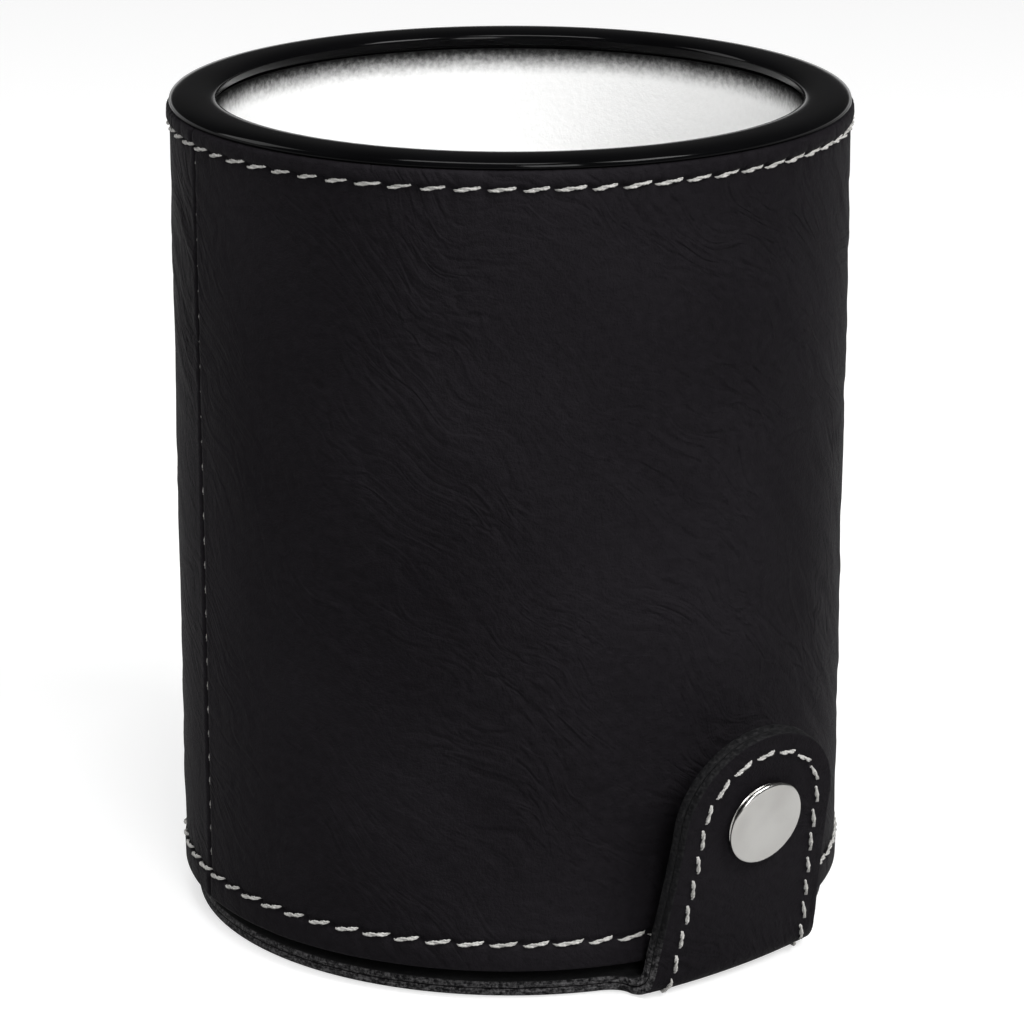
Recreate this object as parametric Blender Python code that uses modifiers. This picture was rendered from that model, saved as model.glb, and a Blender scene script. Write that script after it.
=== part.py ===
# Leather covered pen cup with a snap fastened base lid, metres, +Z up, tab towards -Y.
import math

import bmesh
import bpy
from mathutils import Matrix, Vector

for old in list(bpy.data.objects):
    bpy.data.objects.remove(old, do_unlink=True)

# Cup
CUP_HEIGHT = 0.1000
SLEEVE_RADIUS = 0.0404
LEATHER = 0.0011
TOP_HEM = 0.0021
BOTTOM_HEM = 0.0035
TOP_HEM_BULGE = 0.0004
BOTTOM_HEM_BULGE = 0.0002
SEAM_ANGLE = math.radians(168.0)
SEAM_GAP = 0.0006
INSERT_WALL = 0.0034
INSERT_FLOOR = 0.0016
LIP_HEIGHT = 0.0011
LINING = 0.0006
LINING_DROP = 0.0012
PAD = 0.0012

# Base lid
LID_INSET = 0.0015
LID_PLY = 0.0012
LID_SHADOW_GAP = 0.0010
LOCATOR_HEIGHT = 0.0025
LOCATOR_CLEARANCE = 0.0006
LID_STITCH_INSET = 0.0032

# Front tab and its snap
TAB_WIDTH = 0.0242
TAB_HEIGHT = 0.0320
TAB_FLARE = 0.0016
TAB_FILLET = 0.0034
TAB_FLARE_HEIGHT = 0.0060
TAB_PLY = 0.00105
TAB_LEAN = math.radians(12.0)
TAB_BEND = 0.0008
TAB_CLEARANCE = 0.00025
TAB_STITCH_INSET = 0.0031
SNAP_HEIGHT = 0.0214
CAP_RADIUS = 0.00525
CAP_HEIGHT = 0.0011
CAP_POST_RADIUS = 0.0014
SOCKET_RADIUS = 0.0042
SOCKET_CAVITY_RADIUS = 0.0026
SOCKET_BACK = 0.0004
STUD_HEAD_RADIUS = 0.0016
STUD_NECK_RADIUS = 0.00135
STUD_FLANGE_RADIUS = 0.0030
STUD_FLANGE = 0.0005
RIVET_RADIUS = 0.00075
RIVET_FLANGE_RADIUS = 0.0032
RIVET_FLANGE = 0.0006
RIVET_HEADROOM = 0.0026

# Rear hinge tongue
TONGUE_WIDTH = 0.0240
TONGUE_HEIGHT = 0.0220

# Sewing and seating
THREAD_RADIUS = 0.00028
SEAM_THREAD_RADIUS = 0.00015
STITCH_PITCH = 0.0035
GROOVE_CLEARANCE = 0.00027
SEAT_GAP = 0.0002
HOLE_CLEARANCE = 0.0003
RING_STEPS = 72

# Heights that follow from the stack of plies
lidTop = 2 * LID_PLY + SEAT_GAP
sleeveBottom = lidTop + LID_SHADOW_GAP
lipBase = CUP_HEIGHT - LIP_HEIGHT
sleeveTop = lipBase - SEAT_GAP
topStitch = sleeveTop - TOP_HEM
bottomStitch = sleeveBottom + BOTTOM_HEM

# Radii that follow from the wall
sleeveInner = SLEEVE_RADIUS - LEATHER
insertOuter = sleeveInner - SEAT_GAP
insertInner = insertOuter - INSERT_WALL
topHemRadius = SLEEVE_RADIUS + TOP_HEM_BULGE
bottomHemRadius = SLEEVE_RADIUS + BOTTOM_HEM_BULGE
lidRadius = SLEEVE_RADIUS - LID_INSET
tongueInner = bottomHemRadius + SEAT_GAP
tongueOuter = tongueInner + TAB_PLY

# The tab is a leaning plate that bends under the lid: d is the distance from the cup's axis
tabThickness = 2 * TAB_PLY + SEAT_GAP
leanSin = math.sin(TAB_LEAN)
leanCos = math.cos(TAB_LEAN)
tabFoot = bottomHemRadius + TAB_CLEARANCE
bendZ = tabThickness + TAB_BEND
bendReach = (bendZ - sleeveBottom - TAB_BEND * leanSin) / leanCos
bendD = tabFoot + bendReach * leanSin - TAB_BEND * leanCos
foldD = bendD - SEAT_GAP
neckEnd = foldD - SEAT_GAP
tabAxisD = foldD - SEAT_GAP / 2


def tab_face(offset, height):
    startD = tabFoot + offset * leanCos
    startZ = sleeveBottom - offset * leanSin
    return startD + (height - startZ) * leanSin / leanCos


capD = tab_face(tabThickness, SNAP_HEIGHT)
socketDepth = 0.5 * (tab_face(0.0, SNAP_HEIGHT) - SLEEVE_RADIUS)
studZ = SNAP_HEIGHT + (tabThickness + 0.5 * socketDepth) * leanSin
studReach = tab_face(0.0, studZ) - SLEEVE_RADIUS - SOCKET_BACK - 3 * SEAT_GAP
floorUnder = studZ + RIVET_FLANGE_RADIUS + RIVET_HEADROOM
floorTop = floorUnder + INSERT_FLOOR

parts = bpy.data.collections.new("pen_holder_cup")
cutters = bpy.data.collections.new("cutters")
bpy.context.scene.collection.children.link(parts)
bpy.context.scene.collection.children.link(cutters)


def make_material(name, colour, roughness, metallic=0.0):
    material = bpy.data.materials.new(name)
    material.use_nodes = True
    shader = material.node_tree.nodes["Principled BSDF"]
    shader.inputs["Base Color"].default_value = (*colour, 1.0)
    shader.inputs["Roughness"].default_value = roughness
    shader.inputs["Metallic"].default_value = metallic
    return material


def add_part(obj, colour, roughness, metallic=0.0):
    parts.objects.link(obj)
    obj.data.materials.append(make_material(obj.name + "_material", colour, roughness, metallic))
    return obj


def add_cutter(obj):
    cutters.objects.link(obj)
    obj.hide_render = True
    obj.display_type = "WIRE"
    return obj


def turned(name, profile, closed, steps=RING_STEPS):
    mesh = bpy.data.meshes.new(name)
    count = len(profile)
    last = count if closed else count - 1
    edges = [(i, (i + 1) % count) for i in range(last)]
    mesh.from_pydata([(r, 0.0, z) for r, z in profile], edges, [])
    obj = bpy.data.objects.new(name, mesh)
    screw = obj.modifiers.new("turn", "SCREW")
    screw.axis = "Z"
    screw.angle = 2 * math.pi
    screw.steps = steps
    screw.render_steps = steps
    screw.use_merge_vertices = True
    screw.merge_threshold = 0.00001
    screw.use_smooth_shade = True
    return obj


def curve_object(name, points, cyclic, flat):
    curve = bpy.data.curves.new(name, "CURVE")
    curve.dimensions = "2D" if flat else "3D"
    spline = curve.splines.new("POLY")
    spline.points.add(len(points) - 1)
    for slot, point in zip(spline.points, points):
        slot.co = (*point, 1.0)
    spline.use_cyclic_u = cyclic
    return bpy.data.objects.new(name, curve)


def as_mesh(obj, matrix):
    # the swept or filled curve becomes one welded mesh in world space
    bpy.context.scene.collection.objects.link(obj)
    bpy.context.view_layer.update()
    graph = bpy.context.evaluated_depsgraph_get()
    mesh = bpy.data.meshes.new_from_object(obj.evaluated_get(graph))
    name = obj.name
    curve = obj.data
    bpy.data.objects.remove(obj, do_unlink=True)
    bpy.data.curves.remove(curve)
    work = bmesh.new()
    work.from_mesh(mesh)
    bmesh.ops.remove_doubles(work, verts=work.verts, dist=0.000001)
    bmesh.ops.recalc_face_normals(work, faces=work.faces)
    work.to_mesh(mesh)
    work.free()
    mesh.transform(matrix)
    return bpy.data.objects.new(name, mesh)


def plate(name, outline, thickness, matrix):
    obj = curve_object(name, [(x, y, 0.0) for x, y in outline], True, True)
    obj.data.fill_mode = "BOTH"
    obj.data.extrude = thickness / 2
    return as_mesh(obj, matrix)


def thread(name, points, radius, cyclic):
    obj = curve_object(name, points, cyclic, False)
    obj.data.bevel_depth = radius
    obj.data.bevel_resolution = 0
    obj.data.use_fill_caps = True
    return obj


def groove(name, points, radius):
    obj = curve_object(name, points, False, False)
    obj.data.bevel_depth = radius
    obj.data.bevel_resolution = 2
    obj.data.use_fill_caps = True
    return add_cutter(as_mesh(obj, Matrix.Identity(4)))


def boolean(obj, cutter, operation="DIFFERENCE"):
    step = obj.modifiers.new(operation.lower(), "BOOLEAN")
    step.operation = operation
    step.object = cutter
    step.solver = "EXACT"


def drill(name, radius, depth, matrix):
    mesh = bpy.data.meshes.new(name)
    work = bmesh.new()
    bmesh.ops.create_cone(
        work, cap_ends=True, segments=24, radius1=radius, radius2=radius, depth=depth, matrix=matrix
    )
    work.to_mesh(mesh)
    work.free()
    return add_cutter(bpy.data.objects.new(name, mesh))


def resample(points, step):
    lengths = [0.0]
    for a, b in zip(points, points[1:]):
        lengths.append(lengths[-1] + (Vector(b) - Vector(a)).length)
    count = max(2, round(lengths[-1] / step))
    out = []
    segment = 0
    for i in range(count + 1):
        want = lengths[-1] * i / count
        while segment < len(points) - 2 and lengths[segment + 1] < want:
            segment += 1
        span = lengths[segment + 1] - lengths[segment]
        share = (want - lengths[segment]) / span
        out.append(Vector(points[segment]).lerp(Vector(points[segment + 1]), share))
    return out


# Leather sleeve: a strip wrapped round the insert with folded hems and a butted seam
grooveDepth = 0.7 * LEATHER
grooveHalf = THREAD_RADIUS + GROOVE_CLEARANCE
hemRound = 0.45 * LEATHER
sleeveProfile = [
    (sleeveInner, sleeveTop),
    (topHemRadius - hemRound, sleeveTop),
    (topHemRadius, sleeveTop - hemRound),
    (topHemRadius, topStitch + grooveHalf),
    (SLEEVE_RADIUS - grooveDepth, topStitch + grooveHalf),
    (SLEEVE_RADIUS - grooveDepth, topStitch - grooveHalf),
    (SLEEVE_RADIUS, topStitch - grooveHalf),
    (SLEEVE_RADIUS, bottomStitch + grooveHalf),
    (SLEEVE_RADIUS - grooveDepth, bottomStitch + grooveHalf),
    (SLEEVE_RADIUS - grooveDepth, bottomStitch - grooveHalf),
    (bottomHemRadius, bottomStitch - grooveHalf),
    (bottomHemRadius, sleeveBottom + hemRound),
    (bottomHemRadius - hemRound, sleeveBottom),
    (sleeveInner, sleeveBottom),
]
sleeve = add_part(turned("outer_sleeve", sleeveProfile, True), (0.012, 0.012, 0.015), 0.45)

seamTurn = Matrix.Rotation(SEAM_ANGLE, 4, "Z")
seamMesh = bpy.data.meshes.new("seam_cut")
seamWork = bmesh.new()
bmesh.ops.create_cube(
    seamWork,
    size=1.0,
    matrix=seamTurn
    @ Matrix.Translation((SLEEVE_RADIUS, 0.0, CUP_HEIGHT / 2))
    @ Matrix.Diagonal((8 * LEATHER, SEAM_GAP, 1.2 * CUP_HEIGHT, 1.0)),
)
seamWork.to_mesh(seamMesh)
seamWork.free()
seamCut = add_cutter(bpy.data.objects.new("seam_cut", seamMesh))
boolean(sleeve, seamCut)

# Plastic insert: rounded lip, wall, raised floor and a skirt round the base compartment
lipCentre = 0.5 * (SLEEVE_RADIUS + insertInner)
lipHalf = 0.5 * (SLEEVE_RADIUS - insertInner)
lipArc = []
for i in range(9):
    angle = math.pi * (1 - i / 8)
    lipArc.append((lipCentre + lipHalf * math.cos(angle), lipBase + LIP_HEIGHT * math.sin(angle)))
insertProfile = [(0.0, floorTop), (insertInner, floorTop)]
insertProfile += lipArc
insertProfile += [
    (insertOuter, lipBase),
    (insertOuter, sleeveBottom + SEAT_GAP),
    (insertInner, sleeveBottom + SEAT_GAP),
    (insertInner, floorUnder),
    (0.0, floorUnder),
]
insert = add_part(turned("insert_cup", insertProfile, False), (0.008, 0.008, 0.009), 0.18)

# Pale lining on the wall and a pad on the raised floor
liningOuter = insertInner - SEAT_GAP
liningInner = liningOuter - LINING
liningFoot = floorTop + SEAT_GAP
liningTop = lipBase - LINING_DROP
liningProfile = [
    (liningInner, liningTop),
    (liningOuter, liningTop),
    (liningOuter, liningFoot),
    (liningInner, liningFoot),
]
add_part(turned("wall_lining", liningProfile, True), (0.85, 0.85, 0.84), 0.9)
padRadius = liningInner - SEAT_GAP
padProfile = [(0.0, liningFoot + PAD), (padRadius, liningFoot + PAD), (padRadius, liningFoot), (0.0, liningFoot)]
add_part(turned("floor_pad", padProfile, False), (0.85, 0.85, 0.84), 0.9)

# Hem threads lie in the stitch grooves and weave in and out
stitchCount = 2 * round(math.pi * SLEEVE_RADIUS / STITCH_PITCH)
threadLow = SLEEVE_RADIUS - grooveDepth + SEAT_GAP + THREAD_RADIUS
weave = 0.8 * THREAD_RADIUS


def ring_thread(radius, height):
    points = []
    for i in range(2 * stitchCount):
        angle = math.pi * i / stitchCount
        reach = radius + (weave if i % 2 else 0.0)
        points.append((reach * math.cos(angle), reach * math.sin(angle), height))
    return points


threadColour = (0.78, 0.76, 0.72)
add_part(thread("top_hem_thread", ring_thread(threadLow, topStitch), THREAD_RADIUS, True), threadColour, 0.7)
add_part(thread("bottom_hem_thread", ring_thread(threadLow, bottomStitch), THREAD_RADIUS, True), threadColour, 0.7)

# The seam thread runs in the butt joint between the two hem threads
seamLow = bottomStitch + 4 * THREAD_RADIUS
seamHigh = topStitch - 4 * THREAD_RADIUS
seamStitches = 2 * round((seamHigh - seamLow) / STITCH_PITCH)
seamPoints = []
for i in range(seamStitches + 1):
    reach = SLEEVE_RADIUS - LEATHER / 2 + (1 if i % 2 else -1) * LEATHER / 5
    height = seamLow + (seamHigh - seamLow) * i / seamStitches
    seamPoints.append((reach * math.cos(SEAM_ANGLE), reach * math.sin(SEAM_ANGLE), height))
add_part(thread("side_seam_thread", seamPoints, SEAM_THREAD_RADIUS, False), threadColour, 0.7)

# Male half of the snap, riveted through the wall into the base compartment
wallDepth = SLEEVE_RADIUS - insertInner
wallHole = drill(
    "wall_hole",
    RIVET_RADIUS + HOLE_CLEARANCE,
    6 * wallDepth,
    Matrix.Translation((0.0, -SLEEVE_RADIUS, studZ)) @ Matrix.Rotation(math.pi / 2, 4, "X"),
)
boolean(sleeve, wallHole)
boolean(insert, wallHole)
studBore = RIVET_RADIUS + SEAT_GAP
studShoulder = SEAT_GAP + STUD_FLANGE
studBoreEnd = studShoulder + 0.25 * (studReach - studShoulder)
studProfile = [
    (0.0, studReach),
    (0.7 * STUD_HEAD_RADIUS, studReach),
    (STUD_HEAD_RADIUS, studReach - 0.25 * STUD_HEAD_RADIUS),
    (STUD_HEAD_RADIUS, studReach - 0.5 * STUD_HEAD_RADIUS),
    (STUD_NECK_RADIUS, studReach - 0.8 * STUD_HEAD_RADIUS),
    (STUD_NECK_RADIUS, studShoulder),
    (STUD_FLANGE_RADIUS, studShoulder),
    (STUD_FLANGE_RADIUS, SEAT_GAP),
    (studBore, SEAT_GAP),
    (studBore, studBoreEnd),
    (0.0, studBoreEnd),
]
stud = add_part(turned("snap_stud", studProfile, False, 24), (0.55, 0.54, 0.52), 0.3, 1.0)
stud.location = (0.0, -SLEEVE_RADIUS, studZ)
stud.rotation_euler = (math.pi / 2, 0.0, 0.0)
rivetSeat = math.sqrt(insertInner**2 - RIVET_FLANGE_RADIUS**2) - SEAT_GAP - SLEEVE_RADIUS
rivetProfile = [
    (0.0, studBoreEnd - SEAT_GAP),
    (RIVET_RADIUS, studBoreEnd - SEAT_GAP),
    (RIVET_RADIUS, rivetSeat),
    (RIVET_FLANGE_RADIUS, rivetSeat),
    (RIVET_FLANGE_RADIUS, rivetSeat - RIVET_FLANGE),
    (0.0, rivetSeat - RIVET_FLANGE),
]
rivet = add_part(turned("snap_rivet", rivetProfile, False, 24), (0.55, 0.54, 0.52), 0.35, 1.0)
rivet.location = stud.location
rivet.rotation_euler = stud.rotation_euler

# Rear hinge tongue, wrapped on the sleeve and sewn to it
tongueFoot = LID_PLY + SEAT_GAP
tongueHalf = TONGUE_WIDTH / 2
tongueProfile = [
    (tongueInner, TONGUE_HEIGHT + LEATHER),
    (tongueOuter, TONGUE_HEIGHT + LEATHER),
    (tongueOuter, tongueFoot),
    (tongueInner, tongueFoot),
]
tongue = add_part(turned("hinge_tongue", tongueProfile, True), (0.012, 0.012, 0.015), 0.45)
tongueCorner = 0.6 * tongueHalf


def tongue_edge(inset, foot):
    # half outline from the foot up, with a rounded shoulder, as x and z
    points = [(tongueHalf - inset, foot)]
    for i in range(9):
        angle = 0.5 * math.pi * i / 8
        radius = tongueCorner - inset
        x = tongueHalf - tongueCorner + radius * math.cos(angle)
        points.append((x, TONGUE_HEIGHT - tongueCorner + radius * math.sin(angle)))
    return points


def both_sides(half):
    return half + [(-x, z) for x, z in reversed(half)]


upright = Matrix.Rotation(math.pi / 2, 4, "X")
tongueBlank = plate(
    "tongue_blank",
    both_sides(tongue_edge(0.0, -LID_PLY)),
    0.5 * SLEEVE_RADIUS,
    Matrix.Translation((0.0, SLEEVE_RADIUS, 0.0)) @ upright,
)
boolean(tongue, add_cutter(tongueBlank), "INTERSECT")


def on_tongue(points, radius):
    out = []
    for x, z in points:
        out.append((radius * math.sin(x / tongueOuter), radius * math.cos(x / tongueOuter), z))
    return out


grooveRadius = THREAD_RADIUS + GROOVE_CLEARANCE
grooveSink = 0.5 * THREAD_RADIUS
tongueStart = sleeveBottom + 0.5 * BOTTOM_HEM
tongueLine = both_sides(tongue_edge(TAB_STITCH_INSET, tongueStart))
tongueTrack = resample(on_tongue(tongueLine, tongueOuter - grooveSink), STITCH_PITCH / 2)
boolean(tongue, groove("tongue_groove", tongueTrack, grooveRadius))
tongueWeave = []
for i, point in enumerate(tongueTrack[1:-1]):
    outward = Vector((point.x, point.y, 0.0)).normalized()
    tongueWeave.append(point + outward * (0.35 if i % 2 else -0.15) * THREAD_RADIUS)
add_part(thread("hinge_thread", tongueWeave, THREAD_RADIUS, False), threadColour, 0.7)

# Base lid: an outer ply with a front neck and a rear neck, an inner ply, a locating disc and a pad
neckHalf = TAB_WIDTH / 2 + TAB_FLARE + TAB_FILLET
rearAngle = tongueHalf / tongueOuter
rearReach = tongueOuter - SEAT_GAP / 2


def neck_fillet(x, y, side):
    # concave fillet from a neck corner to the round edge of the lid
    joinX = x + 0.003
    joinY = side * math.sqrt(lidRadius**2 - joinX**2)
    bendPoint = Vector((x, joinY + side * 0.0010))
    out = []
    for i in range(7):
        t = i / 6
        start = Vector((x, y)) * (1 - t) ** 2
        out.append(tuple(start + bendPoint * 2 * t * (1 - t) + Vector((joinX, joinY)) * t * t))
    return out


rearX = rearReach * math.sin(rearAngle)
rearY = rearReach * math.cos(rearAngle)
frontEdge = neck_fillet(neckHalf, -neckEnd, -1)
rearEdge = neck_fillet(rearX, rearY, 1)
frontTurn = math.atan2(frontEdge[-1][1], frontEdge[-1][0])
rearTurn = math.atan2(rearEdge[-1][1], rearEdge[-1][0])
rightSide = list(frontEdge)
for i in range(1, 24):
    angle = frontTurn + (rearTurn - frontTurn) * i / 24
    rightSide.append((lidRadius * math.cos(angle), lidRadius * math.sin(angle)))
rightSide += list(reversed(rearEdge))
rearArc = []
for i in range(1, 8):
    angle = math.pi / 2 - rearAngle + 2 * rearAngle * i / 8
    rearArc.append((rearReach * math.cos(angle), rearReach * math.sin(angle)))
lidOutline = rightSide + rearArc + [(-x, y) for x, y in reversed(rightSide)]
lidOuter = plate("lid_outer_ply", lidOutline, LID_PLY, Matrix.Translation((0.0, 0.0, LID_PLY / 2)))
add_part(lidOuter, (0.014, 0.014, 0.016), 0.55)
lidGrooveDepth = 0.75 * LID_PLY
lidStitchRadius = lidRadius - LID_STITCH_INSET
lidGrooveProfile = [
    (lidStitchRadius - grooveRadius, lidGrooveDepth),
    (lidStitchRadius + grooveRadius, lidGrooveDepth),
    (lidStitchRadius + grooveRadius, -LID_PLY),
    (lidStitchRadius - grooveRadius, -LID_PLY),
]
boolean(lidOuter, add_cutter(turned("lid_groove", lidGrooveProfile, True)))
lidStitches = 2 * round(math.pi * lidStitchRadius / STITCH_PITCH)
lidThreadPoints = []
for i in range(2 * lidStitches):
    angle = math.pi * i / lidStitches
    height = lidGrooveDepth - SEAT_GAP - THREAD_RADIUS - (0.25 * THREAD_RADIUS if i % 2 else 0.0)
    lidThreadPoints.append((lidStitchRadius * math.cos(angle), lidStitchRadius * math.sin(angle), height))
lidThread = add_part(thread("lid_thread", lidThreadPoints, THREAD_RADIUS, True), threadColour, 0.7)


def disc(name, radius, low, high, colour, roughness):
    profile = [(0.0, high), (radius, high), (radius, low), (0.0, low)]
    return add_part(turned(name, profile, False), colour, roughness)


locatorRadius = insertInner - LOCATOR_CLEARANCE
locatorLow = lidTop + SEAT_GAP
locatorHigh = locatorLow + LOCATOR_HEIGHT
lidInner = disc("lid_inner_ply", lidRadius, LID_PLY + SEAT_GAP, lidTop, (0.020, 0.020, 0.021), 0.7)
locator = disc("lid_locating_disc", locatorRadius, locatorLow, locatorHigh, (0.010, 0.010, 0.010), 0.8)
lidPadLow = locatorHigh + SEAT_GAP
lidPad = disc("lid_pad", locatorRadius - LINING, lidPadLow, lidPadLow + LINING, (0.016, 0.016, 0.018), 0.9)


# Front tab: two plies that bend up from the lid and lean outwards
def bent_strip(name, low, high):
    def face(offset):
        points = [(foldD, tabThickness - offset)]
        for i in range(7):
            angle = -math.pi / 2 + (math.pi / 2 - TAB_LEAN) * i / 6
            radius = TAB_BEND + offset
            points.append((bendD + radius * math.cos(angle), bendZ + radius * math.sin(angle)))
        top = 1.15 * TAB_HEIGHT
        points.append((tab_face(offset, top), top))
        return points

    outline = [(-d, z) for d, z in face(high) + list(reversed(face(low)))]
    turn = Matrix(((0, 0, 1, 0), (1, 0, 0, 0), (0, 1, 0, 0), (0, 0, 0, 1)))
    return plate(name, outline, 2.5 * TAB_WIDTH, turn)


tabHalf = TAB_WIDTH / 2
tabCentre = TAB_HEIGHT - tabHalf


def tab_edge(inset, foot):
    # half outline from the foot up to the middle of the round end, as x and z
    points = []
    for i in range(9):
        t = i / 8
        height = foot + (TAB_FLARE_HEIGHT - foot) * t
        share = 1 - height / TAB_FLARE_HEIGHT
        points.append((tabHalf + TAB_FLARE + TAB_FILLET * share * abs(share) - inset, height))
    for i in range(1, 4):
        t = i / 4
        height = TAB_FLARE_HEIGHT + (tabCentre - TAB_FLARE_HEIGHT) * t
        points.append((tabHalf + TAB_FLARE * (1 - t) ** 2 - inset, height))
    for i in range(12):
        angle = 0.5 * math.pi * i / 12
        radius = tabHalf - inset
        points.append((radius * math.cos(angle), tabCentre + radius * math.sin(angle)))
    return points


def tab_loop(inset, foot):
    half = tab_edge(inset, foot)
    return half + [(0.0, TAB_HEIGHT - inset)] + [(-x, z) for x, z in reversed(half)]


tabBlank = plate(
    "tab_blank",
    tab_loop(0.0, -0.2 * TAB_FLARE_HEIGHT),
    1.2 * SLEEVE_RADIUS,
    Matrix.Translation((0.0, -1.2 * SLEEVE_RADIUS, 0.0)) @ upright,
)
add_cutter(tabBlank)
tabOuter = add_part(bent_strip("tab_outer_ply", TAB_PLY + SEAT_GAP, tabThickness), (0.013, 0.013, 0.016), 0.45)
tabInner = add_part(bent_strip("tab_inner_ply", 0.0, TAB_PLY), (0.018, 0.018, 0.019), 0.6)
snapTurn = math.pi / 2 + TAB_LEAN
snapPlace = Matrix.Translation((0.0, -capD, SNAP_HEIGHT)) @ Matrix.Rotation(snapTurn, 4, "X")
tabHole = drill("tab_hole", CAP_POST_RADIUS + HOLE_CLEARANCE, 4 * tabThickness, snapPlace)
for ply in (tabOuter, tabInner):
    boolean(ply, tabBlank, "INTERSECT")
    boolean(ply, tabHole)


def on_tab(points, lift):
    out = []
    for x, z in points:
        foot = Vector((x, -tab_face(tabThickness, z), z))
        out.append(foot + Vector((0.0, -leanCos, -leanSin)) * lift)
    return out


tabStart = 0.5 * TAB_FLARE_HEIGHT + tabThickness
tabTrack = resample(on_tab(tab_loop(TAB_STITCH_INSET, tabStart), -grooveSink), STITCH_PITCH / 2)
boolean(tabOuter, groove("tab_groove", tabTrack, grooveRadius))
tabWeave = []
for i, point in enumerate(tabTrack[1:-1]):
    lift = (0.35 if i % 2 else -0.15) * THREAD_RADIUS
    tabWeave.append(point + Vector((0.0, -leanCos, -leanSin)) * lift)
tabThread = add_part(thread("tab_thread", tabWeave, THREAD_RADIUS, False), threadColour, 0.7)

# Snap cap on the tab's face with its post through both plies, and the socket behind
capTop = SEAT_GAP + CAP_HEIGHT
socketBack = -tabThickness - SEAT_GAP
postEnd = socketBack - 0.8 * SOCKET_BACK
capProfile = [
    (0.0, capTop),
    (0.60 * CAP_RADIUS, capTop),
    (0.84 * CAP_RADIUS, capTop - 0.05 * CAP_HEIGHT),
    (0.94 * CAP_RADIUS, capTop - 0.2 * CAP_HEIGHT),
    (CAP_RADIUS, capTop - 0.55 * CAP_HEIGHT),
    (CAP_RADIUS, SEAT_GAP + 0.15 * CAP_HEIGHT),
    (0.97 * CAP_RADIUS, SEAT_GAP),
    (CAP_POST_RADIUS, SEAT_GAP),
    (CAP_POST_RADIUS, postEnd),
    (0.0, postEnd),
]
cap = add_part(turned("snap_cap", capProfile, False, 32), (0.62, 0.61, 0.59), 0.28, 1.0)
socketHole = CAP_POST_RADIUS + HOLE_CLEARANCE
socketEdge = socketBack - socketDepth
socketProfile = [
    (socketHole, socketBack),
    (SOCKET_RADIUS, socketBack),
    (SOCKET_RADIUS, socketEdge),
    (SOCKET_CAVITY_RADIUS, socketEdge),
    (SOCKET_CAVITY_RADIUS, socketBack - SOCKET_BACK),
    (socketHole, socketBack - SOCKET_BACK),
]
socket = add_part(turned("snap_socket", socketProfile, True, 24), (0.55, 0.54, 0.52), 0.3, 1.0)
for piece in (cap, socket):
    piece.location = (0.0, -capD, SNAP_HEIGHT)
    piece.rotation_euler = (snapTurn, 0.0, 0.0)

# Pivots: the lid swings on the rear tongue and the tab folds on the front edge of the lid
lidPivot = bpy.data.objects.new("lid_pivot", None)
tabPivot = bpy.data.objects.new("tab_pivot", None)
lidPivot.location = (0.0, tongueOuter, LID_PLY + SEAT_GAP / 2)
tabPivot.location = (0.0, -tabAxisD, 0.0)
lidPlace = Matrix.Translation(lidPivot.location)
tabPlace = Matrix.Translation(tabPivot.location)
parts.objects.link(lidPivot)
parts.objects.link(tabPivot)
tabPivot.parent = lidPivot
tabPivot.matrix_parent_inverse = lidPlace.inverted()
for piece in (lidOuter, lidThread, lidInner, locator, lidPad):
    piece.parent = lidPivot
    piece.matrix_parent_inverse = lidPlace.inverted()
for piece in (tabOuter, tabInner, tabThread, cap, socket):
    piece.parent = tabPivot
    piece.matrix_parent_inverse = tabPlace.inverted()
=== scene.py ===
import math

import bmesh
import bpy
import numpy as np
from mathutils import Matrix, Vector


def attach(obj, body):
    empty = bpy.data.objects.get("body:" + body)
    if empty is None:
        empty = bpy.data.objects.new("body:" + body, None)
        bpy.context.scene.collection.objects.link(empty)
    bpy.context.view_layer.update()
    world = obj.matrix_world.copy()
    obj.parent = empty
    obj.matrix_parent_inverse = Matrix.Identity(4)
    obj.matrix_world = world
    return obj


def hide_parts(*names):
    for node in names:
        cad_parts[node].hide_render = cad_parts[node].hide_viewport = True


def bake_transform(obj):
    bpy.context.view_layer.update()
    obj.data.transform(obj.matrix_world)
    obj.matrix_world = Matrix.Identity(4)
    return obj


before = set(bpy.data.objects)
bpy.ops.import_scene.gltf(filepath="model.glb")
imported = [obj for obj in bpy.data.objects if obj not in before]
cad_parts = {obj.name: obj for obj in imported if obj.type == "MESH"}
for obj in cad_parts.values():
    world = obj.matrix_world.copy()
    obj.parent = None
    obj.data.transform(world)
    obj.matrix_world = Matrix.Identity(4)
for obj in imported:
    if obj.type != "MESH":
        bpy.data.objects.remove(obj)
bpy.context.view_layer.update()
scene = bpy.context.scene
scene.view_settings.view_transform = "Standard"
print("frame loaded:", len(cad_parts), "solids")

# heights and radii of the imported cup, in metres
cup = {
    "radius": 0.0404, "topHem": 0.0408, "bottomHem": 0.0406, "sleeveInner": 0.0393,
    "sleeveTop": 0.0987, "sleeveBottom": 0.0036, "topStitch": 0.0966, "bottomStitch": 0.0071,
    "seamAngle": math.radians(168.0),
}


# shader wires

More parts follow.
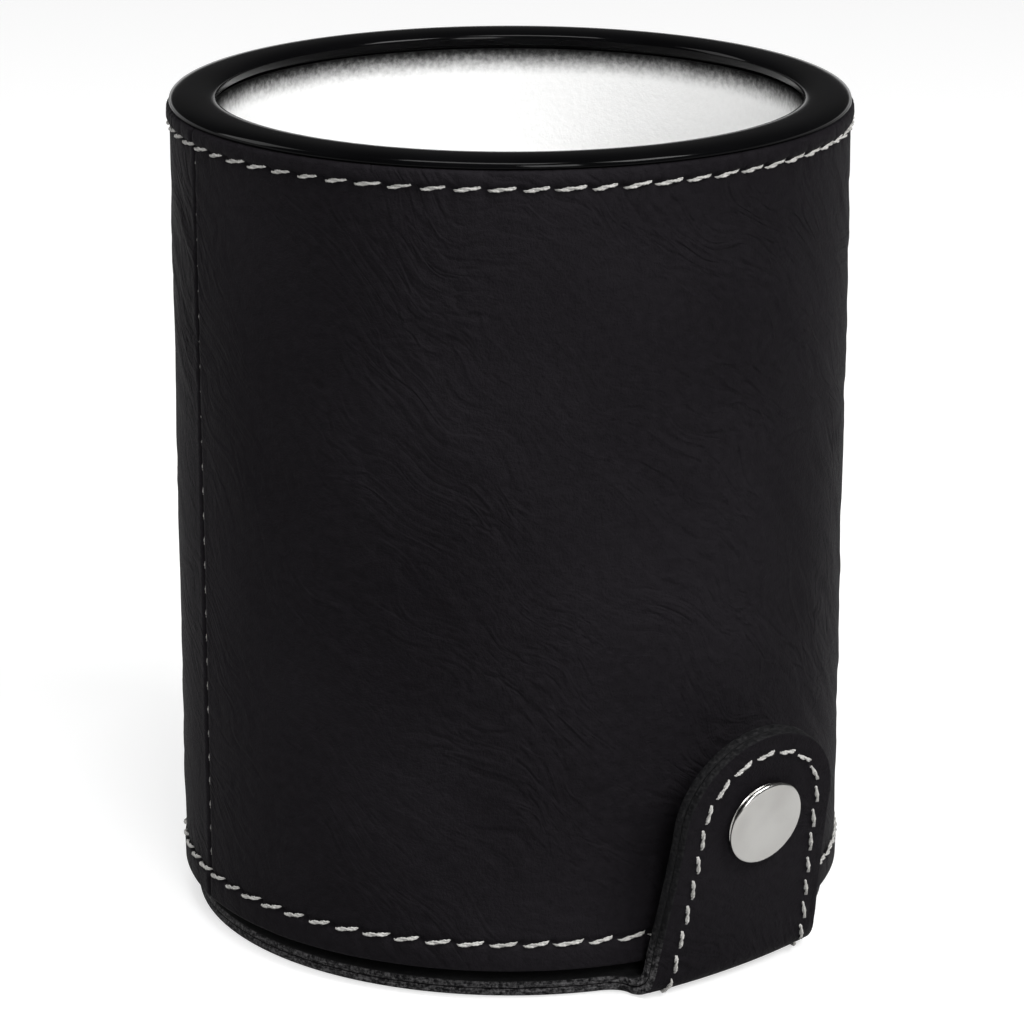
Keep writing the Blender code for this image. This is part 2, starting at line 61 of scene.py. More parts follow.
class Wire:
    def __init__(self, tree, socket=None):
        self.tree = tree
        self.socket = socket

    def make(self, kind, settings=None, sockets=None, out=0):
        node = self.tree.nodes.new(kind)
        for key, value in (settings or {}).items():
            setattr(node, key, value)
        for key, value in (sockets or {}).items():
            if isinstance(value, Wire):
                self.tree.links.new(value.socket, node.inputs[key])
            else:
                node.inputs[key].default_value = value
        return Wire(self.tree, node.outputs[out])

    def maths(self, operation, *values):
        return self.make("ShaderNodeMath", {"operation": operation}, dict(enumerate(values)))

    def __add__(self, other):
        return self.maths("ADD", self, other)

    def __sub__(self, other):
        return self.maths("SUBTRACT", self, other)

    def __rsub__(self, other):
        return self.maths("SUBTRACT", other, self)

    def __mul__(self, other):
        return self.maths("MULTIPLY", self, other)

    def __pow__(self, other):
        return self.maths("POWER", self, other)

    __radd__ = __add__
    __rmul__ = __mul__

    def step(self, low, high):
        return self.make(
            "ShaderNodeMapRange",
            {"interpolation_type": "SMOOTHSTEP"},
            {"Value": self, "From Min": low, "From Max": high},
        )

    def blendColours(self, first, second):
        return self.make(
            "ShaderNodeMix", {"data_type": "RGBA"}, {"Factor": self, 6: (*first, 1.0), 7: (*second, 1.0)}, 2
        )

    def noise(self, scale, detail=2.0, roughness=0.5, distortion=0.0):
        return self.make(
            "ShaderNodeTexNoise",
            {},
            {
                "Vector": self, "Scale": scale, "Detail": detail,
                "Roughness": roughness, "Distortion": distortion,
            },
        )

    def turned(self, angle, scale):
        return self.make(
            "ShaderNodeMapping", {"vector_type": "TEXTURE"},
            {"Vector": self, "Rotation": (0.0, 0.0, angle), "Scale": scale},
        )

    def bump(self, strength, distance):
        return self.make("ShaderNodeBump", {}, {"Height": self, "Strength": strength, "Distance": distance})


def newFinish(name, recipe, **fixed):
    finish = bpy.data.materials.new(name)
    finish.use_nodes = True
    tree = finish.node_tree
    shader = tree.nodes["Principled BSDF"]
    for key, value in fixed.items():
        shader.inputs[key.replace("_", " ")].default_value = value
    for key, wire in recipe(Wire(tree)).items():
        tree.links.new(wire.socket, shader.inputs[key])
    return finish


def spot(pen):
    return pen.make("ShaderNodeTexCoord", out=3)


def flatSpot(pen):
    return pen.make("ShaderNodeUVMap", {"uv_map": "flat"})


leatherLook = {
    "dark": (0.0074, 0.0066, 0.0078), "light": (0.0138, 0.0125, 0.0146),
    "grain": 300.0, "creaseAngle": math.radians(-40.0), "crease": 25.0, "roughness": 0.46,
}


def leatherRecipe(pen):
    flat = flatSpot(pen)
    grain = flat.noise(leatherLook["grain"], 3.0, 0.65)
    pebble = flat.noise(95.0, 2.0, 0.5)
    drift = flat.noise(3.2, 2.0, 0.5)
    cluster = flat.noise(4.6, 1.0, 0.5).step(0.36, 0.62)
    stray = pen.make("ShaderNodeTexNoise", {}, {"Vector": flat, "Scale": 6.0, "Detail": 1.0}, 1)
    waved = pen.make(
        "ShaderNodeVectorMath", {"operation": "MULTIPLY_ADD"}, {0: stray, 1: (0.16, 0.16, 0.0), 2: flat}
    )
    along = waved.turned(leatherLook["creaseAngle"], (1.0, 0.36, 1.0))
    ridge = along.noise(leatherLook["crease"], 1.2, 0.45, 0.9)
    height = grain * 0.24 + pebble * 0.16 + ridge * (0.40 + cluster) * 0.60
    tone = (drift * 0.6 + pebble * 0.4).step(0.25, 0.78)
    return {
        "Base Color": tone.blendColours(leatherLook["dark"], leatherLook["light"]),
        "Roughness": leatherLook["roughness"] + (grain - 0.5) * 0.22 + (drift - 0.5) * 0.16,
        "Normal": height.bump(1.0, 0.00070),
    }


leather = newFinish("blackLeather", leatherRecipe, IOR=1.06)


def cutEdgeRecipe(pen):
    place = spot(pen)
    fibre = place.noise(2600.0, 3.0, 0.7)
    flattened = place.make("ShaderNodeMapping", {}, {"Vector": place, "Scale": (1.0, 1.0, 5.0)})
    layer = flattened.noise(900.0, 2.0)
    # the cut edge is made darker higher up, on the tab, than on the lid
    tabEdgeDarkening = 1.0 - 0.85 * place.make("ShaderNodeSeparateXYZ", {}, {0: place}, 2).step(0.003, 0.009)
    tone = (fibre * 0.7 + layer * 0.3).step(0.40, 0.70) * tabEdgeDarkening
    return {
        "Base Color": tone.blendColours((0.0045, 0.0045, 0.005), (0.125, 0.122, 0.125)),
        "Roughness": 0.72 + (fibre - 0.5) * 0.2,
        "Normal": (fibre + layer).bump(0.7, 0.00016),
    }


cutEdge = newFinish("cutLeatherEdge", cutEdgeRecipe, IOR=1.16)


def suedeRecipe(pen):
    place = spot(pen)
    nap = place.noise(1400.0, 3.0, 0.7)
    patch = place.noise(90.0, 2.0)
    tone = (nap * 0.6 + patch * 0.4).step(0.3, 0.75)
    return {
        "Base Color": tone.blendColours((0.006, 0.006, 0.0065), (0.02, 0.02, 0.021)),
        "Roughness": 0.85 + (nap - 0.5) * 0.15,
        "Normal": nap.bump(0.5, 0.0002),
    }


suede = newFinish("leatherFleshSide", suedeRecipe, IOR=1.3)


def plasticRecipe(pen):
    place = spot(pen)
    haze = place.noise(60.0, 2.0)
    scuff = place.noise(900.0, 2.0)
    return {
        "Base Color": haze.step(0.3, 0.7).blendColours((0.0016, 0.0016, 0.0018), (0.0026, 0.0026, 0.0029)),
        "Roughness": 0.10 + (haze - 0.5) * 0.05 + (scuff - 0.5) * 0.03,
        "Normal": place.noise(120.0, 1.0).bump(0.08, 0.0002),
    }


plastic = newFinish("glossBlackMoulding", plasticRecipe, IOR=1.18)

liningLook = {"fadeTop": 0.0980, "fadeEnd": 0.0942}


def liningRecipe(pen):
    place = spot(pen)
    height = place.make("ShaderNodeSeparateXYZ", {}, {0: place}, 2)
    nap = place.noise(1500.0, 3.0, 0.65)
    cloud = place.noise(120.0, 2.0)
    wobble = (cloud - 0.5) * 0.0004 + (nap - 0.5) * 0.0016
    dark = (height + wobble).step(liningLook["fadeEnd"], liningLook["fadeTop"])
    tone = (1.0 - dark) ** 1.4 * (0.94 + (nap - 0.5) * 0.10)
    return {
        "Base Color": tone.blendColours((0.002, 0.002, 0.002), (0.92, 0.92, 0.915)),
        "Roughness": 0.92 + (nap - 0.5) * 0.1,
        "Normal": nap.bump(0.35, 0.00015),
    }


lining = newFinish("whiteLining", liningRecipe, IOR=1.2)


def threadRecipe(pen):
    place = spot(pen)
    fuzz = place.noise(2600.0, 3.0, 0.7)
    soil = place.noise(300.0, 2.0)
    tone = (fuzz * 0.6 + soil * 0.4).step(0.25, 0.75)
    return {
        "Base Color": tone.blendColours((0.30, 0.295, 0.28), (0.66, 0.65, 0.63)),
        "Roughness": 0.8 + (fuzz - 0.5) * 0.2,
        "Normal": fuzz.bump(0.6, 0.00012),
    }


thread = newFinish("twistedThread", threadRecipe, IOR=1.3)


def nickelRecipe(pen):
    place = spot(pen)
    brush = place.noise(700.0, 3.0, 0.6)
    cloud = place.noise(160.0, 2.0)
    return {
        "Base Color": cloud.step(0.3, 0.7).blendColours((0.52, 0.51, 0.49), (0.60, 0.59, 0.57)),
        "Roughness": 0.22 + (brush - 0.5) * 0.10 + (cloud - 0.5) * 0.08,
        "Normal": brush.bump(0.05, 0.0001),
    }


nickel = newFinish("satinNickel", nickelRecipe, Metallic=1.0)


def boardRecipe(pen):
    place = spot(pen)
    fleck = place.noise(1100.0, 3.0, 0.7)
    return {
        "Base Color": fleck.step(0.3, 0.8).blendColours((0.004, 0.004, 0.004), (0.012, 0.012, 0.012)),
        "Roughness": 0.75 + (fleck - 0.5) * 0.2,
        "Normal": fleck.bump(0.4, 0.00015),
    }


board = newFinish("blackBoard", boardRecipe, IOR=1.3)
print("finishes ready")


# mesh helpers

def addPiece(name, mesh, finishes, smoothAngle=None):
    for finish in finishes:
        mesh.materials.append(finish)
    piece = bpy.data.objects.new(name, mesh)
    scene.collection.objects.link(piece)
    mesh.shade_smooth()
    if smoothAngle is not None:
        mesh.set_sharp_from_angle(angle=smoothAngle)
    return piece


def settle(piece, body, slot, *nodes):
    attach(piece, body)
    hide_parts(*nodes)
    return piece


def roundCorners(points, radius, steps=5):
    # softens the inner corners of an open profile
    out = [points[0]]
    for before, corner, after in zip(points, points[1:], points[2:]):
        a, b, c = Vector(before), Vector(corner), Vector(after)
        reach = min(radius, 0.45 * (a - b).length, 0.45 * (c - b).length)
        start = b + (a - b).normalized() * reach
        end = b + (c - b).normalized() * reach
        for i in range(steps + 1):
            t = i / steps
            out.append(tuple(start * (1 - t) ** 2 + b * 2 * t * (1 - t) + end * t * t))
    out.append(points[-1])
    return out


def latheMesh(name, profile, steps, matrix=Matrix.Identity(4)):
    # a profile that starts and ends on the axis, or a closed loop off it
    closed = profile[0][0] > 1e-9
    work = bmesh.new()
    rings = []
    for r, z in profile:
        if r < 1e-9:
            rings.append([work.verts.new((0.0, 0.0, z))] * steps)
            continue
        ring = []
        for i in range(steps):
            angle = 2 * math.pi * i / steps
            ring.append(work.verts.new((r * math.cos(angle), r * math.sin(angle), z)))
        rings.append(ring)
    pairs = list(zip(rings, rings[1:]))
    if closed:
        pairs.append((rings[-1], rings[0]))
    for upper, lower in pairs:
        for i in range(steps):
            j = (i + 1) % steps
            corners = []
            for vert in (upper[i], lower[i], lower[j], upper[j]):
                if vert not in corners:
                    corners.append(vert)
            work.faces.new(corners)
    bmesh.ops.recalc_face_normals(work, faces=work.faces)
    work.transform(matrix)
    mesh = bpy.data.meshes.new(name)
    work.to_mesh(mesh)
    work.free()
    return mesh


noiseState = np.random.RandomState(11)
lattice = noiseState.rand(256, 256)


def softNoise(x, y, seed=0):
    xi = np.floor(x).astype(int)
    yi = np.floor(y).astype(int)
    fx = x - xi
    fy = y - yi
    fx = fx * fx * fx * (fx * (fx * 6 - 15) + 10)
    fy = fy * fy * fy * (fy * (fy * 6 - 15) + 10)
    xi = xi + 37 * seed
    yi = yi + 71 * seed

    def at(a, b):
        return lattice[a % 256, b % 256]

    low = at(xi, yi) * (1 - fx) + at(xi + 1, yi) * fx
    high = at(xi, yi + 1) * (1 - fx) + at(xi + 1, yi + 1) * fx
    return low * (1 - fy) + high * fy


# sleeve: one wrapped strip, unrolled from the butted seam

sleeveLook = {
    "columns": 648, "wallRows": 96, "stitches": 66, "fold": 0.0007, "wrinkle": 0.00020, "swell": 0.00012,
    "pucker": 0.00022, "puckerHalf": 0.0016, "groove": 0.00034, "grooveHalf": 0.00042, "holeHalf": 0.00045,
    "seamDepth": 0.00060, "seamHalf": 0.00026, "seamMargin": 0.0011,
}


def ramp(value, low, high):
    t = np.clip((value - low) / (high - low), 0, 1)
    return t * t * (3 - 2 * t)


def wrinkles(u, v):
    # clusters of slanting creases, with u along the wrap and v up, in millimetres
    bendU = u + 7.0 * (softNoise(u / 17, v / 17, 1) - 0.5)
    bendV = v + 9.0 * (softNoise(u / 15, v / 15, 2) - 0.5)
    turn = math.radians(-38)
    along = bendU * math.cos(turn) + bendV * math.sin(turn)
    across = -bendU * math.sin(turn) + bendV * math.cos(turn)
    fine = softNoise(along / 9.0, across / 1.55, 3) - 0.5
    broad = softNoise(along / 14.0, across / 3.2, 4) - 0.5
    front = np.exp(-(((u - 36) / 24) ** 2) - ((v - 48) / 34) ** 2)
    cluster = ramp(softNoise(u / 21, v / 19, 5) + 0.30 * front, 0.42, 0.80)
    return cluster * (fine * 1.2 + broad * 0.8)


def buildSleeve():
    look = sleeveLook
    turnLength = 2 * math.pi * cup["radius"]
    seamOffsets = np.array([-0.9, -0.55, -0.3, -0.12, 0.0, 0.12, 0.3, 0.55, 0.9]) * 0.001
    plain = np.linspace(look["seamMargin"], turnLength - look["seamMargin"], look["columns"])
    offsets = np.concatenate([seamOffsets[4:], plain, turnLength + seamOffsets[:4]])
    around = cup["seamAngle"] + offsets / cup["radius"]
    # outer face from the top fold down, then the inner face back up
    top, bottom = cup["sleeveTop"], cup["sleeveBottom"]
    fold = look["fold"]
    rows = []
    for i in range(5):
        angle = 0.5 * math.pi * (1 - i / 5)
        rows.append((cup["topHem"] - fold * (1 - math.cos(angle)), top - fold * (1 - math.sin(angle))))
    near = np.array([0.95, 0.7, 0.5, 0.34, 0.2, 0.07, -0.07, -0.2, -0.34, -0.5, -0.7, -0.95]) * 0.001
    for z in cup["topStitch"] + near:
        rows.append((None, z))
    for z in np.linspace(cup["topStitch"] - 0.0015, cup["bottomStitch"] + 0.0015, look["wallRows"]):
        rows.append((None, z))
    for z in cup["bottomStitch"] + near:
        rows.append((None, z))
    for i in range(5):
        angle = 0.5 * math.pi * (i + 1) / 5
        rows.append((cup["bottomHem"] - fold * (1 - math.cos(angle)), bottom + fold * (1 - math.sin(angle))))
    outerCount = len(rows)
    rows += [(cup["sleeveInner"], bottom), (cup["sleeveInner"], top)]
    grid = np.zeros((len(rows), len(offsets), 3))
    pitch = turnLength / look["stitches"]
    topRise = cup["topHem"] - cup["radius"]
    footRise = cup["bottomHem"] - cup["radius"]
    for k, (radius, z) in enumerate(rows):
        if radius is None:
            hemTop = ramp(np.array(z), cup["topStitch"] - 0.0004, cup["topStitch"] + 0.0007)
            hemFoot = ramp(np.array(-z), -cup["bottomStitch"] - 0.0004, -cup["bottomStitch"] + 0.0007)
            radius = cup["radius"] + topRise * float(hemTop) + footRise * float(hemFoot)
        reach = np.full(len(offsets), radius)
        if k < outerCount:
            u = offsets * 1000
            wall = ramp(np.array(z), 0.009, 0.016) * (1 - ramp(np.array(z), 0.088, 0.095))
            folds = wrinkles(u, np.full_like(u, z * 1000))
            reach = reach + look["wrinkle"] * folds * (0.25 + 0.75 * float(wall))
            reach = reach + look["swell"] * (softNoise(u / 26, np.full_like(u, z * 1000 / 24), 6) - 0.5)
            for line in (cup["topStitch"], cup["bottomStitch"]):
                gap = abs(z - line)
                phase = offsets / pitch - np.floor(offsets / pitch)
                hole = np.exp(-((np.minimum(phase, 1 - phase) * pitch / look["holeHalf"]) ** 2))
                groove = math.exp(-((gap / look["grooveHalf"]) ** 2)) * (0.55 + 0.75 * hole)
                pucker = math.exp(-((gap / look["puckerHalf"]) ** 2)) * hole * 0.6
                reach = reach - look["groove"] * groove - look["pucker"] * pucker
            seam = np.minimum(offsets, turnLength - offsets)
            reach = reach - look["seamDepth"] * np.exp(-((seam / look["seamHalf"]) ** 2))
            reach = reach + 0.00006 * np.exp(-(((seam - 0.0008) / 0.0006) ** 2))
        grid[k, :, 0] = reach * np.cos(around)
        grid[k, :, 1] = reach * np.sin(around)
        grid[k, :, 2] = z
    columns = len(offsets)
    faces = []
    for k in range(len(rows)):
        upper = k * columns
        lower = (k + 1) % len(rows) * columns
        for i in range(columns - 1):
            faces.append((upper + i, lower + i, lower + i + 1, upper + i + 1))
        # the two butted ends meet at the foot of the seam
        faces.append((upper + columns - 1, lower + columns - 1, lower, upper))
    mesh = bpy.data.meshes.new("outerSleeve")
    mesh.from_pydata(grid.reshape(-1, 3).tolist(), [], faces)
    # the uv map keeps the true arc length and height
    flat = mesh.uv_layers.new(name="flat")
    vertexIndex = np.zeros(len(mesh.loops), int)
    mesh.loops.foreach_get("vertex_index", vertexIndex)
    u = np.tile(offsets, len(rows))[vertexIndex] * 10
    v = np.repeat(np.array([z for radius, z in rows]), columns)[vertexIndex] * 10
    flat.data.foreach_set("uv", np.stack([u, v], 1).ravel())
    mesh.update()
    work = bmesh.new()
    work.from_mesh(mesh)
    bmesh.ops.recalc_face_normals(work, faces=work.faces)
    work.to_mesh(mesh)
    work.free()
    return addPiece("outerSleeve", mesh, [leather])


settle(buildSleeve(), "cup", "black_leatherette", "outer_sleeve")
print("sleeve wrapped")

# insert, lining and pad

insertLook = {
    "outer": 0.0391, "inner": 0.0357, "lipInner": 0.0347, "lipBase": 0.0989, "lipHeight": 0.0011,
    "floorTop": 0.0295, "floorUnder": 0.0279, "skirt": 0.0038, "steps": 180,
}


def buildInsert():
    look = insertLook
    middle = 0.5 * (cup["radius"] + look["lipInner"])
    half = 0.5 * (cup["radius"] - look["lipInner"])
    lip = []
    for i in range(25):
        angle = math.pi * (1 - i / 24)
        squared = math.copysign(abs(math.cos(angle)) ** 0.8, math.cos(angle))
        lip.append((middle + half * squared, look["lipBase"] + look["lipHeight"] * math.sin(angle) ** 0.8))
    profile = [
        (0.0, look["floorTop"]), (look["inner"], look["floorTop"]),
        # the lip stands in over the lining
        (look["inner"], look["lipBase"] - 0.0009), (look["lipInner"] + 0.0003, look["lipBase"] - 0.0007),
        *lip,
        (look["outer"], look["lipBase"]), (look["outer"], look["skirt"]), (look["inner"], look["skirt"]),
        (look["inner"], look["floorUnder"]), (0.0, look["floorUnder"]),
    ]
    mesh = latheMesh("insertCup", profile, look["steps"])
    return addPiece("insertCup", mesh, [plastic], math.radians(40))


settle(buildInsert(), "cup", "black_plastic", "insert_cup")
wallLook = {"inner": 0.0349, "middle": 0.0352, "outer": 0.0355, "foot": 0.0297, "top": 0.0977, "steps": 180}
wallLoop = [
    (wallLook["middle"], wallLook["top"]), (wallLook["outer"], wallLook["top"]),
    (wallLook["outer"], wallLook["foot"]), (wallLook["inner"], wallLook["foot"]),
    (wallLook["inner"], wallLook["top"]), (wallLook["middle"], wallLook["top"]),
]
wallMesh = latheMesh("wallLining", roundCorners(wallLoop, 0.00025, 3)[:-1], wallLook["steps"])
settle(addPiece("wallLining", wallMesh, [lining], math.radians(50)), "cup", "white_lining", "wall_lining")
padLook = {"radius": 0.0347, "foot": 0.0297, "top": 0.0309, "steps": 120}
padLine = [
    (0.0, padLook["top"]), (padLook["radius"], padLook["top"]),
    (padLook["radius"], padLook["foot"]), (0.0, padLook["foot"]),
]
padMesh = latheMesh("floorPad", roundCorners(padLine, 0.0004), padLook["steps"])
settle(addPiece("floorPad", padMesh, [lining], math.radians(50)), "cup", "white_lining", "floor_pad")
print("insert and lining turned")

# strap: the lid plies run on into the snap tab, bent round the front fold

strapLook = {
    "lidRadius": 0.0389, "cornerD": 0.0424149, "bendRadius": 0.0031, "bendGrow": 0.06, "growFrom": -0.010,
    "bow": 6.5, "bowReach": 0.0145, "bowTip": 0.35, "lean": math.radians(12.0),
    "askew": math.tan(math.radians(2.5)), "tabHalf": 0.0111, "tabHeight": 0.0326, "snapHeight": 0.0214,
    "flare": 0.0013, "fillet": 0.0012, "flareHeight": 0.0050, "inset": 0.0025, "pitch": 0.0034,
    "foldBack": 0.0025, "neckJoin": 0.0022, "neckCorner": 0.0012, "ply": 0.001, "edge": 0.00025,
    # runs along the strap over which the bow, the ply faces and the sunk row change
    "bowRun": (0.0355, 0.0400), "bowFade": 0.028, "faceRun": (0.0370, 0.0450), "sinkRun": (0.0360, 0.0430),
}
swing = math.pi / 2 - strapLook["lean"]
kneeShare = math.tan(swing / 2)


def foldLine(x, t):
    # the outer face of the strap: distance from the axis, height and outward normal;
    # the bend eases to the right
    look = strapLook
    radius = look["bendRadius"] + look["bendGrow"] * np.maximum(x - look["growFrom"], 0)
    start = look["cornerD"] - radius * kneeShare
    angle = np.clip((t - start) / radius, 0, swing) - math.pi / 2
    past = np.maximum(t - start - radius * swing, 0)
    ease = 1 + (look["bowTip"] - 1) * ramp(t, look["cornerD"], look["cornerD"] + look["bowFade"])
    bow = look["bow"] * np.minimum(np.abs(x), look["bowReach"]) ** 2 * ease * ramp(t, *look["bowRun"])
    d = start + np.minimum(t - start, 0) + radius * np.cos(angle) + past * math.sin(look["lean"]) - bow
    z = radius + radius * np.sin(angle) + past * math.cos(look["lean"])
    return d, z, np.cos(angle), np.sin(angle)


def heightToRun(z):
    # the run along the strap of a height on the tab, past the middle of the bend
    look = strapLook
    radius = look["bendRadius"]
    knee = radius * (1 - math.sin(look["lean"]))
    straight = look["cornerD"] - radius * kneeShare + radius * swing
    return straight + (z - knee) / math.cos(look["lean"])


def onStrap(x, t, depth):
    # a flat point of the strap, at a depth below its outer face, in space
    d, z, nd, nz = foldLine(x, t)
    return np.stack([x, -(d - nd * depth), z - nz * depth], -1)


def strapEdge(inset, side):
    # one side of the flat outline from the rear of the lid to the tip of the tab, as x and t
    look = strapLook
    snapRun = heightToRun(look["snapHeight"])
    foldRun = look["cornerD"] - look["foldBack"]

    def middle(t):
        return side * look["askew"] * (snapRun - max(t, foldRun))

    neck = look["tabHalf"] + look["flare"] + look["fillet"] - inset + middle(foldRun)
    radius = look["lidRadius"] - inset
    joinX = neck + look["neckJoin"]
    joinT = math.sqrt(radius**2 - joinX**2)
    turnEnd = math.atan2(joinT, joinX)
    points = []
    for i in range(61):
        angle = -math.pi / 2 + (turnEnd + math.pi / 2) * i / 60
        points.append((radius * math.cos(angle), radius * math.sin(angle)))
    join = Vector((joinX, joinT))
    corner = Vector((neck, joinT + look["neckCorner"]))
    leave = Vector((neck, foldRun))
    for i in range(1, 9):
        s = i / 9
        points.append(tuple(join * (1 - s) ** 2 + corner * 2 * s * (1 - s) + leave * s * s))
    centre = look["tabHeight"] - look["tabHalf"]
    flareRun = heightToRun(look["flareHeight"])
    for i in range(13):
        share = 1 - i / 12
        t = flareRun - (flareRun - foldRun) * share
        half = look["tabHalf"] + look["flare"] + look["fillet"] * share * share
        points.append((half - inset + middle(t), t))
    endRun = heightToRun(centre)
    for i in range(1, 8):
        s = i / 8
        t = flareRun + (endRun - flareRun) * s
        half = look["tabHalf"] + look["flare"] * (1 - s) ** 1.5
        points.append((half - inset + middle(t), t))
    end = look["tabHalf"] - inset
    for i in range(20):
        angle = 0.5 * math.pi * i / 19
        t = endRun + end * math.sin(angle)
        points.append((end * math.cos(angle) + middle(t), t))
    return points


def flatBlank(name, outline, thickness, edge):
    # a flat piece of leather with rounded edges, centred in z
    curve = bpy.data.curves.new(name, "CURVE")
    curve.dimensions = "2D"
    curve.fill_mode = "BOTH"
    curve.extrude = thickness / 2 - edge
    curve.bevel_depth = edge
    curve.bevel_resolution = 2
    curve.offset = -edge
    spline = curve.splines.new("POLY")
    spline.points.add(len(outline) - 1)
    for slot, (x, t) in zip(spline.points, outline):
        slot.co = (x, t, 0.0, 1.0)
    spline.use_cyclic_u = True
    guide = bpy.data.objects.new(name, curve)
    scene.collection.objects.link(guide)
    graph = bpy.context.evaluated_depsgraph_get()
    mesh = bpy.data.meshes.new_from_object(guide.evaluated_get(graph))
    bpy.data.objects.remove(guide)
    bpy.data.curves.remove(curve)
    work = bmesh.new()
    work.from_mesh(mesh)
    bmesh.ops.remove_doubles(work, verts=work.verts, dist=1e-7)
    return mesh, work


def cutAcross(work, axis, places):
    for place in places:
        point = [0.0, 0.0, 0.0]
        normal = [0.0, 0.0, 0.0]
        point[axis] = place
        normal[axis] = 1.0
        parts = list(work.verts) + list(work.edges) + list(work.faces)
        bmesh.ops.bisect_plane(work, geom=parts, plane_co=point, plane_no=normal, dist=1e-7)


def finishBlank(name, mesh, work, place, finishes):
    # writes the flat place into the uv map, then moves every point with place(x, t, z)
    bmesh.ops.recalc_face_normals(work, faces=work.faces)
    for face in work.faces:
        face.material_index = 0 if abs(face.normal.z) > 0.8 else 1
    work.to_mesh(mesh)
    work.free()
    count = len(mesh.vertices)
    flatPoints = np.zeros(count * 3)
    mesh.vertices.foreach_get("co", flatPoints)
    flatPoints = flatPoints.reshape(-1, 3)
    layer = mesh.uv_layers.new(name="flat")
    index = np.zeros(len(mesh.loops), int)
    mesh.loops.foreach_get("vertex_index", index)
    layer.data.foreach_set("uv", (flatPoints[index, :2] * 10 + [0.31, 0.77]).ravel())
    mesh.vertices.foreach_set("co", place(flatPoints).ravel())
    mesh.update()
    work = bmesh.new()
    work.from_mesh(mesh)
    bmesh.ops.recalc_face_normals(work, faces=work.faces)
    work.to_mesh(mesh)
    work.free()
    return addPiece(name, mesh, finishes, math.radians(42))


def buildPly(name, lidFaces, tabFaces, finishes):
    left = [(-x, t) for x, t in strapEdge(0.0, -1)]
    outline = strapEdge(0.0, 1) + left[-2:0:-1]
    mesh, work = flatBlank(name, outline, strapLook["ply"], strapLook["edge"])
    # the cuts lie closest together in the fold
    cutAcross(work, 1, np.arange(-0.036, 0.0350, 0.0045))
    cutAcross(work, 1, np.arange(0.0352, 0.0478, 0.0005))
    cutAcross(work, 1, np.arange(0.0485, 0.076, 0.0014))
    cutAcross(work, 0, np.arange(-0.036, 0.0361, 0.0020))

    def place(points):
        x, t, z = points.T
        share = 0.5 + z / strapLook["ply"]  # 0 on the outer face, 1 on the inner face
        change = ramp(t, *strapLook["faceRun"])
        outer = lidFaces[0] + (tabFaces[0] - lidFaces[0]) * change
        inner = lidFaces[1] + (tabFaces[1] - lidFaces[1]) * change
        return onStrap(x, t, outer + (inner - outer) * share)

    return finishBlank(name, mesh, work, place, finishes)


strapOuter = buildPly("strapOuter", (0.0, 0.0009), (0.0, 0.00110), [leather, cutEdge])
strapInner = buildPly("strapInner", (0.00096, 0.0018), (0.00118, 0.0023), [suede, cutEdge])
for ply, slotName, nodes in (
    (strapOuter, "black_leatherette", ("lid_outer_ply", "tab_outer_ply")),
    (strapInner, "cut_leather", ("lid_inner_ply", "tab_inner_ply")),
):
    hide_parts(*nodes)
    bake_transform(ply)
print("strap folded")

# rear hinge tongue: up the back of the sleeve, with a foot let into the edge of the lid

tongueLook = {
    "outer": 0.04185, "half": 0.0120, "height": 0.0220, "corner": 0.0072, "bend": 0.0022,
    "foot": 0.0365, "thick": 0.00105, "lift": 0.0002, "rowInset": 0.0031, "rowFoot": 0.0055,
}


def tongueLine(t):
    # t runs up from the middle of the rear fold; the foot is at negative t
    look = tongueLook
    radius = look["bend"]
    arc = radius * math.pi / 2
    turn = np.clip(t / radius, 0, math.pi / 2)
    centreR = look["outer"] - radius
    centreZ = look["lift"] + radius
    r = centreR + np.minimum(t, 0) + radius * np.sin(turn)
    z = centreZ - radius * np.cos(turn) + np.maximum(t - arc, 0)
    return r, z, np.sin(turn), -np.cos(turn)


def onTongue(x, t, depth):
    r, z, nr, nz = tongueLine(t)
    angle = x / tongueLook["outer"]
    reach = r - nr * depth
    return np.stack([reach * np.sin(angle), reach * np.cos(angle), z - nz * depth], -1)


def tongueEdge(inset, foot):
    look = tongueLook
    arc = look["bend"] * math.pi / 2
    top = look["height"] - look["lift"] - look["bend"] + arc
    points = [(look["half"] - inset, foot), (look["half"] - inset, 0.5 * foot)]
    side = look["half"] - look["corner"]
    shoulder = top - look["corner"]
    radius = look["corner"] - inset
    for i in range(13):
        angle = 0.5 * math.pi * i / 12
        points.append((side + radius * math.cos(angle), shoulder + radius * math.sin(angle)))
    return points


def buildTongue():
    look = tongueLook
    foot = look["foot"] - (look["outer"] - look["bend"])
    half = tongueEdge(0.0, foot)
    outline = half + [(-x, t) for x, t in reversed(half)]
    mesh, work = flatBlank("hingeTongue", outline, strapLook["ply"], strapLook["edge"])
    cutAcross(work, 1, np.arange(-0.003, 0.0040, 0.0003))
    cutAcross(work, 1, np.arange(0.0045, 0.024, 0.0015))
    cutAcross(work, 0, np.arange(-0.0115, 0.0116, 0.001))

    def place(points):
        x, t, z = points.T
        return onTongue(x, t, (0.5 + z / strapLook["ply"]) * look["thick"])

    return finishBlank("hingeTongue", mesh, work, place, [leather, cutEdge])


tongue = buildTongue()
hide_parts("hinge_tongue")
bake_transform(tongue)
discSpecs = [
    ("lidLocatingDisc", 0.0351, 0.0019, 0.0053, 0.0004, board, "board", "lid_locating_disc"),
    ("lidPad", 0.0345, 0.0055, 0.0061, 0.00025, suede, "dark_lining", "lid_pad"),
]
for name, radius, low, high, soften, finish, slotName, node in discSpecs:
    profile = roundCorners([(0.0, high), (radius, high), (radius, low), (0.0, low)], soften)
    settle(addPiece(name, latheMesh(name, profile, 144), [finish], math.radians(50)), "lid", slotName, node)
print("hinge tongue and lid discs made")

# snap: cap and socket on the tab, stud and rivet in the wall

